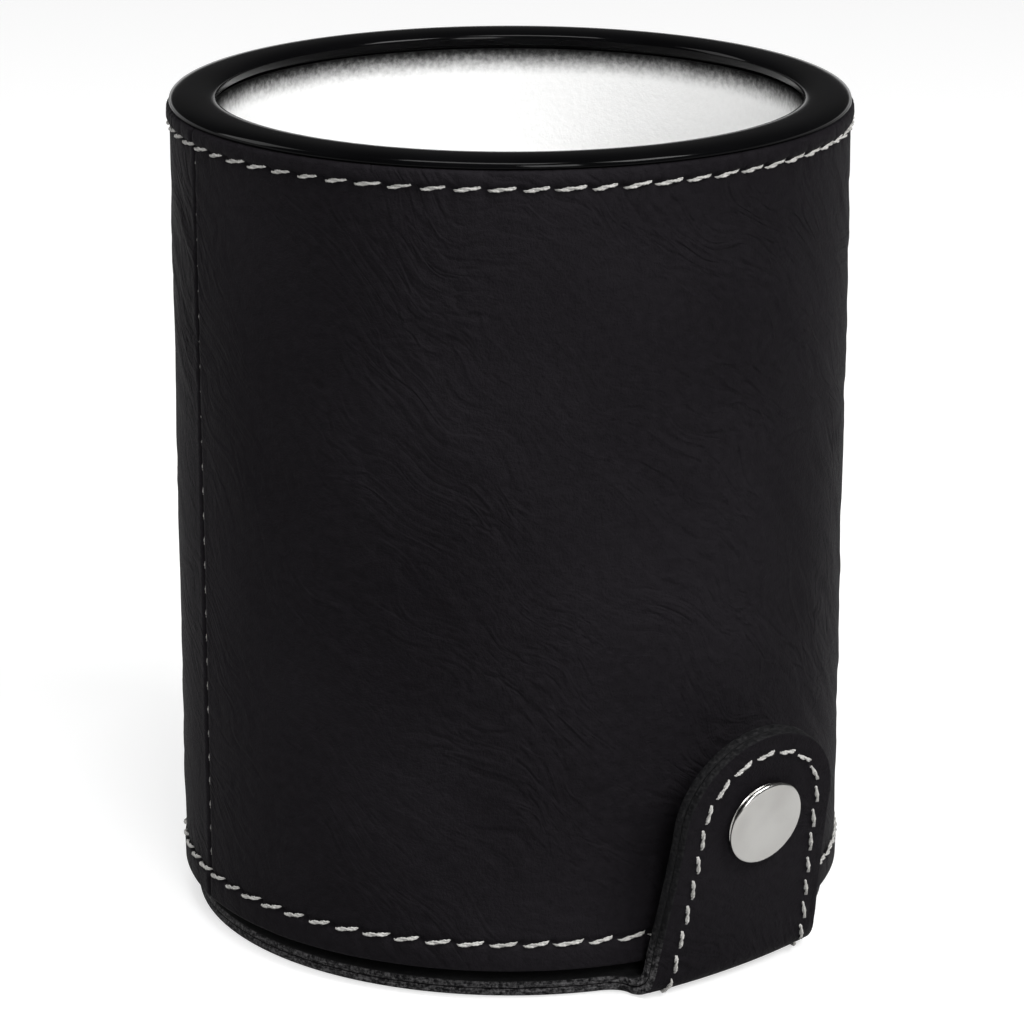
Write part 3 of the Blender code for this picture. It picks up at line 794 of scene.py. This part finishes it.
snapLook = {"capD": 0.046985, "studZ": 0.022098, "steps": 96}
capSeat = Matrix.Translation((0.0, -snapLook["capD"], strapLook["snapHeight"]))
capPlace = capSeat @ Matrix.Rotation(math.pi / 2 + strapLook["lean"], 4, "X")
studSeat = Matrix.Translation((0.0, -cup["radius"], snapLook["studZ"]))
studPlace = studSeat @ Matrix.Rotation(math.pi / 2, 4, "X")


def capProfile():
    radius, seat, rise = 0.00525, 0.0001, 0.0012
    points = [(0.0, seat + rise)]
    for i in range(1, 9):
        r = radius * 0.86 * i / 8
        points.append((r, seat + rise - 0.00010 * (i / 8) ** 2))
    for i in range(1, 13):
        angle = math.pi / 2 - math.pi * 1.05 * i / 12
        r = radius * 0.87 + radius * 0.13 * math.cos(angle)
        points.append((r, seat + 0.62 * rise + 0.34 * rise * math.sin(angle)))
    points += [(0.0048, seat), (0.0014, seat), (0.0014, -0.0028), (0.0, -0.0028)]
    return points


socketLoop = [
    (0.0030, -0.0025), (0.0042, -0.0025), (0.0042, -0.0046), (0.0026, -0.0046),
    (0.0026, -0.0029), (0.0017, -0.0029), (0.0017, -0.0025), (0.0030, -0.0025),
]
studLine = [
    (0.0, 0.00338), (0.0012, 0.00338), (0.0016, 0.0030), (0.0016, 0.0026),
    (0.00135, 0.0021), (0.00135, 0.0007), (0.0030, 0.0007), (0.0030, 0.0002),
    (0.00095, 0.0002), (0.00095, 0.0012), (0.0, 0.0012),
]
rivetLine = [
    (0.0, 0.0010), (0.00075, 0.0010), (0.00075, -0.00504), (0.0032, -0.00504),
    (0.0031, -0.0054), (0.0024, -0.0056), (0.0, -0.00564),
]
snapParts = [
    ("snapCap", capProfile(), capPlace, "tab", "snap_cap"),
    ("snapSocket", roundCorners(socketLoop, 0.0003, 4)[:-1], capPlace, "tab", "snap_socket"),
    ("snapStud", roundCorners(studLine, 0.0002, 4), studPlace, "cup", "snap_stud"),
    ("snapRivet", roundCorners(rivetLine, 0.0002, 4), studPlace, "cup", "snap_rivet"),
]
for name, profile, place, body, node in snapParts:
    mesh = latheMesh(name, profile, snapLook["steps"], place)
    settle(addPiece(name, mesh, [nickel], math.radians(55)), body, "snap_metal", node)
print("snap set")

# sewing: every row is a set of places, dressed with twisted stitches by one node tree

stitchLook = {"plies": 2, "segments": 8, "sides": 5, "turns": 1.25}


def stitchShape():
    # one stitch of unit length along x and unit thickness, its ends sunk in the leather
    look = stitchLook
    work = bmesh.new()
    for ply in range(look["plies"]):
        rings = []
        for i in range(look["segments"] + 1):
            s = i / look["segments"]
            swell = max(0.18, abs(math.sin(math.pi * s)) ** 0.25)
            spin = 2 * math.pi * (look["turns"] * s + ply / look["plies"])
            arch = 0.30 - 1.3 * abs(2 * s - 1) ** 7
            centre = Vector((s - 0.5, 0.21 * swell * math.cos(spin), arch + 0.21 * swell * math.sin(spin)))
            ring = []
            for j in range(look["sides"]):
                angle = 2 * math.pi * j / look["sides"] + spin
                spoke = Vector((0.0, math.cos(angle), math.sin(angle)))
                ring.append(work.verts.new(centre + 0.30 * swell * spoke))
            rings.append(ring)
        for first, second in zip(rings, rings[1:]):
            for j in range(look["sides"]):
                k = (j + 1) % look["sides"]
                work.faces.new((first[j], first[k], second[k], second[j]))
        work.faces.new(list(reversed(rings[0])))
        work.faces.new(rings[-1])
    bmesh.ops.recalc_face_normals(work, faces=work.faces)
    for face in work.faces:
        face.smooth = True
    mesh = bpy.data.meshes.new("stitchShape")
    work.to_mesh(mesh)
    work.free()
    shape = bpy.data.objects.new("stitchShape", mesh)
    scene.collection.objects.link(shape)
    return shape


def sewingTree():
    tree = bpy.data.node_groups.new("sewnRow", "GeometryNodeTree")
    tree.interface.new_socket("Geometry", in_out="INPUT", socket_type="NodeSocketGeometry")
    tree.interface.new_socket("Geometry", in_out="OUTPUT", socket_type="NodeSocketGeometry")
    sockets = {
        "Stitch": "NodeSocketObject", "Length": "NodeSocketFloat", "Thickness": "NodeSocketFloat",
        "Slant": "NodeSocketFloat", "Wander": "NodeSocketFloat", "Thread": "NodeSocketMaterial",
    }
    for label, kind in sockets.items():
        tree.interface.new_socket(label, in_out="INPUT", socket_type=kind)
    pen = Wire(tree)
    into = tree.nodes.new("NodeGroupInput")
    out = tree.nodes.new("NodeGroupOutput")

    def given(label):
        return Wire(tree, into.outputs[label])

    def vectorOf(label):
        return pen.make("GeometryNodeInputNamedAttribute", {"data_type": "FLOAT_VECTOR"}, {"Name": label})

    aim = pen.make("FunctionNodeAxesToRotation", {"primary_axis": "X", "secondary_axis": "Z"},
                   {"Primary Axis": vectorOf("along"), "Secondary Axis": vectorOf("outward")})
    stray = pen.make("FunctionNodeRandomValue", {"data_type": "FLOAT"}, {2: -1.0, 3: 1.0, "Seed": 5}, 1)
    tilt = given("Slant") + stray * given("Wander")
    lean = pen.make("ShaderNodeCombineXYZ", {}, {2: tilt})
    lean = pen.make("FunctionNodeEulerToRotation", {}, {0: lean})
    aim = pen.make("FunctionNodeRotateRotation", {"rotation_space": "LOCAL"}, {0: aim, 1: lean})
    stretch = pen.make("FunctionNodeRandomValue", {"data_type": "FLOAT"}, {2: 0.9, 3: 1.08, "Seed": 9}, 1)
    thick = given("Thickness")
    size = pen.make("ShaderNodeCombineXYZ", {}, {0: given("Length") * stretch, 1: thick, 2: thick})
    shape = pen.make("GeometryNodeObjectInfo", {}, {"Object": given("Stitch")}, 4)
    row = pen.make("GeometryNodeInstanceOnPoints", {},
                   {"Points": given("Geometry"), "Instance": shape, "Rotation": aim, "Scale": size})
    row = pen.make("GeometryNodeRealizeInstances", {}, {0: row})
    row = pen.make("GeometryNodeSetMaterial", {}, {"Geometry": row, "Material": given("Thread")})
    tree.links.new(row.socket, out.inputs[0])
    return tree


stitch = stitchShape()
sewing = sewingTree()


def sewRow(name, places, length, thickness, slant, wander):
    mesh = bpy.data.meshes.new(name)
    mesh.from_pydata([tuple(p) for p, a, o in places], [], [])
    for label, which in (("along", 1), ("outward", 2)):
        layer = mesh.attributes.new(label, "FLOAT_VECTOR", "POINT")
        layer.data.foreach_set("vector", np.array([tuple(place[which]) for place in places]).ravel())
    row = bpy.data.objects.new(name, mesh)
    scene.collection.objects.link(row)
    step = row.modifiers.new("sewing", "NODES")
    step.node_group = sewing
    values = {
        "Stitch": stitch, "Length": length, "Thickness": thickness,
        "Slant": slant, "Wander": wander, "Thread": thread,
    }
    for item in sewing.interface.items_tree:
        if item.in_out == "INPUT" and item.name in values:
            step[item.identifier] = values[item.name]
    bpy.context.view_layer.update()
    graph = bpy.context.evaluated_depsgraph_get()
    plain = bpy.data.meshes.new_from_object(row.evaluated_get(graph))
    bpy.data.objects.remove(row)
    for label in ("along", "outward"):
        if plain.attributes.get(label):
            plain.attributes.remove(plain.attributes[label])
    sewn = bpy.data.objects.new(name, plain)
    scene.collection.objects.link(sewn)
    return sewn


def ringPlaces(height, radius, count, start):
    places = []
    for i in range(count):
        angle = start + 2 * math.pi * (i + 0.5) / count
        out = Vector((math.cos(angle), math.sin(angle), 0.0))
        places.append((out * radius + Vector((0.0, 0.0, height)), Vector((-out.y, out.x, 0.0)), out))
    return places


def pathPlaces(points, outs, pitch):
    # stitches a pitch apart along a polyline with an outward normal at each point
    points = [Vector(p) for p in points]
    lengths = [0.0]
    for a, b in zip(points, points[1:]):
        lengths.append(lengths[-1] + (b - a).length)
    count = round(lengths[-1] / pitch)
    places = []
    k = 0
    for i in range(count):
        want = lengths[-1] * (i + 0.5) / count
        while lengths[k + 1] < want:
            k += 1
        share = (want - lengths[k]) / (lengths[k + 1] - lengths[k])
        out = Vector(outs[k]).lerp(Vector(outs[k + 1]), share).normalized()
        places.append((points[k].lerp(points[k + 1], share), (points[k + 1] - points[k]).normalized(), out))
    return places


# how far each row is sunk below the face of the leather; under the lid the strap's row lies deeper
threadSink = {"hem": 0.00006, "seam": 0.00038, "strap": 0.00004, "lid": 0.00020}
hemSewing = {"length": 0.0037, "thickness": 0.00058, "slant": math.radians(10), "wander": math.radians(4)}
hemRows = (
    ("topHemStitches", "topStitch", "top_hem_thread"),
    ("bottomHemStitches", "bottomStitch", "bottom_hem_thread"),
)
for name, line, node in hemRows:
    reach = cup["radius"] - threadSink["hem"]
    places = ringPlaces(cup[line], reach, sleeveLook["stitches"], cup["seamAngle"])
    settle(sewRow(name, places, *hemSewing.values()), "cup", "thread", node)

seamSewing = {"length": 0.0013, "thickness": 0.00037, "slant": math.radians(10), "wander": math.radians(9)}
seamOut = Vector((math.cos(cup["seamAngle"]), math.sin(cup["seamAngle"]), 0.0))
seamUp = Vector((0.0, 0.0, 1.0))
seamFoot = seamOut * (cup["radius"] - threadSink["seam"])
seamPlaces = [(seamFoot + seamUp * z, seamUp, seamOut) for z in np.linspace(0.0096, 0.0945, 29)]
settle(sewRow("seamStitches", seamPlaces, *seamSewing.values()), "cup", "thread", "side_seam_thread")


def strapPlaces():
    left = np.array(strapEdge(strapLook["inset"], -1)) * [-1, 1]
    flat = np.concatenate([left, np.array(strapEdge(strapLook["inset"], 1))[-2::-1]])
    x, t = flat.T
    points = onStrap(x, t, threadSink["strap"] + threadSink["lid"] * (1 - ramp(t, *strapLook["sinkRun"])))
    d, z, nd, nz = foldLine(x, t)
    outs = np.stack([0 * d, -nd, nz], -1)
    return pathPlaces(points, outs, strapLook["pitch"])


strapSewing = {"length": 0.0032, "thickness": 0.00060, "slant": math.radians(8), "wander": math.radians(4)}
strapStitches = sewRow("strapStitches", strapPlaces(), *strapSewing.values())
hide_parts("lid_thread", "tab_thread")
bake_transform(strapStitches)
tongueHalf = tongueEdge(tongueLook["rowInset"], tongueLook["rowFoot"])
tongueFlat = np.array([tongueHalf[0]] + tongueHalf[2:])
tongueFlat = np.concatenate([tongueFlat, tongueFlat[::-1] * [-1, 1]])
tonguePoints = onTongue(tongueFlat[:, 0], tongueFlat[:, 1], threadSink["strap"])
tongueOuts = tonguePoints * [1, 1, 0]
tonguePlaces = pathPlaces(tonguePoints, tongueOuts, strapLook["pitch"])
settle(sewRow("tongueStitches", tonguePlaces, *strapSewing.values()), "cup", "thread", "hinge_thread")
bpy.data.objects.remove(stitch)
print("rows sewn")

# studio: white floor, soft boxes, and a camera at the photograph's angle

studio = {
    "azimuth": -38.1, "distance": 0.48775, "height": 0.19836, "pitch": 17.229,
    "lens": 146.84, "aside": 0.00021, "aim": (0.0, 0.0, 0.055),
}
floorLook = {"level": -0.0002, "half": 3.0, "tone": 0.52, "glow": 0.62, "mirrored": 0.22}
worldLook = {"ambient": 0.18, "horizon": 0.12, "fall": 0.95, "clear": 0.58}


def buildFloor():
    mesh = bpy.data.meshes.new("floor")
    work = bmesh.new()
    bmesh.ops.create_grid(work, x_segments=2, y_segments=2, size=floorLook["half"])
    work.to_mesh(mesh)
    work.free()
    paper = bpy.data.materials.new("paleFloor")
    paper.use_nodes = True
    tree = paper.node_tree
    pen = Wire(tree)
    shader = tree.nodes["Principled BSDF"]
    shader.inputs["Base Color"].default_value = (*[floorLook["tone"]] * 3, 1.0)
    shader.inputs["Roughness"].default_value = 0.9
    shader.inputs["Specular IOR Level"].default_value = 0.0
    seen = pen.make("ShaderNodeLightPath")
    mirrored = pen.make("ShaderNodeLightPath", out="Is Glossy Ray")
    clear = pen.make("ShaderNodeLightPath", out="Is Transmission Ray")
    shown = seen * floorLook["glow"] + (mirrored + clear) * floorLook["mirrored"]
    glow = pen.make("ShaderNodeEmission", {}, {"Color": (1, 1, 1, 1), "Strength": shown})
    total = pen.make("ShaderNodeAddShader", {}, {0: Wire(tree, shader.outputs[0]), 1: glow})
    tree.links.new(total.socket, tree.nodes["Material Output"].inputs[0])
    mesh.materials.append(paper)
    floor = bpy.data.objects.new("floor", mesh)
    scene.collection.objects.link(floor)
    floor.location.z = floorLook["level"]


def buildWorld():
    world = bpy.data.worlds.new("studioWorld")
    world.use_nodes = True
    scene.world = world
    tree = world.node_tree
    pen = Wire(tree)
    seen = pen.make("ShaderNodeLightPath")
    mirrored = pen.make("ShaderNodeLightPath", out="Is Glossy Ray")
    clear = pen.make("ShaderNodeLightPath", out="Is Transmission Ray")
    aim = pen.make("ShaderNodeTexCoord", out=0)
    rise = pen.make("ShaderNodeSeparateXYZ", {}, {0: aim}, 2)
    horizon = 1.0 - rise.step(0.0, worldLook["horizon"]) * worldLook["fall"]
    level = worldLook["ambient"] * (1.0 - pen.maths("MAXIMUM", seen, mirrored))
    level = level + seen + mirrored * (1.0 - seen) * horizon
    level = level + clear * (1.0 - seen) * worldLook["clear"]
    ground = tree.nodes["Background"]
    ground.inputs["Color"].default_value = (1, 1, 1, 1)
    tree.links.new(level.socket, ground.inputs["Strength"])


def softBox(name, azimuth, elevation, distance, width, height, power):
    # azimuth is counted from the camera, positive to the right of it
    lamp = bpy.data.lights.new(name, "AREA")
    lamp.shape = "RECTANGLE"
    lamp.size = width
    lamp.size_y = height
    lamp.energy = power
    box = bpy.data.objects.new(name, lamp)
    scene.collection.objects.link(box)
    a = math.radians(studio["azimuth"] + azimuth)
    e = math.radians(elevation)
    back = Vector((math.sin(a) * math.cos(e), -math.cos(a) * math.cos(e), math.sin(e)))
    box.location = Vector(studio["aim"]) + back * distance
    box.rotation_euler = back.to_track_quat("Z", "Y").to_euler()


def buildCamera():
    lens = bpy.data.cameras.new("camera")
    lens.lens = studio["lens"]
    lens.sensor_width = 36.0
    lens.clip_start = 0.01
    camera = bpy.data.objects.new("camera", lens)
    scene.collection.objects.link(camera)
    a = math.radians(studio["azimuth"])
    right = Vector((math.cos(a), math.sin(a), 0.0))
    camera.location = Vector((math.sin(a), -math.cos(a), 0.0)) * studio["distance"] + right * studio["aside"]
    camera.location.z = studio["height"]
    camera.rotation_euler = (math.radians(90 - studio["pitch"]), 0.0, a)
    scene.camera = camera


buildFloor()
buildWorld()
softBox("keyBox", 55, 46, 0.95, 0.35, 0.35, 6.0)
softBox("frontBox", 14, 27, 1.05, 0.30, 0.50, 4.8)
softBox("topBox", -24, 76, 0.90, 0.50, 0.22, 3.2)
softBox("leftBox", -100, 28, 1.00, 0.40, 0.60, 2.6)
buildCamera()
print("studio lit")
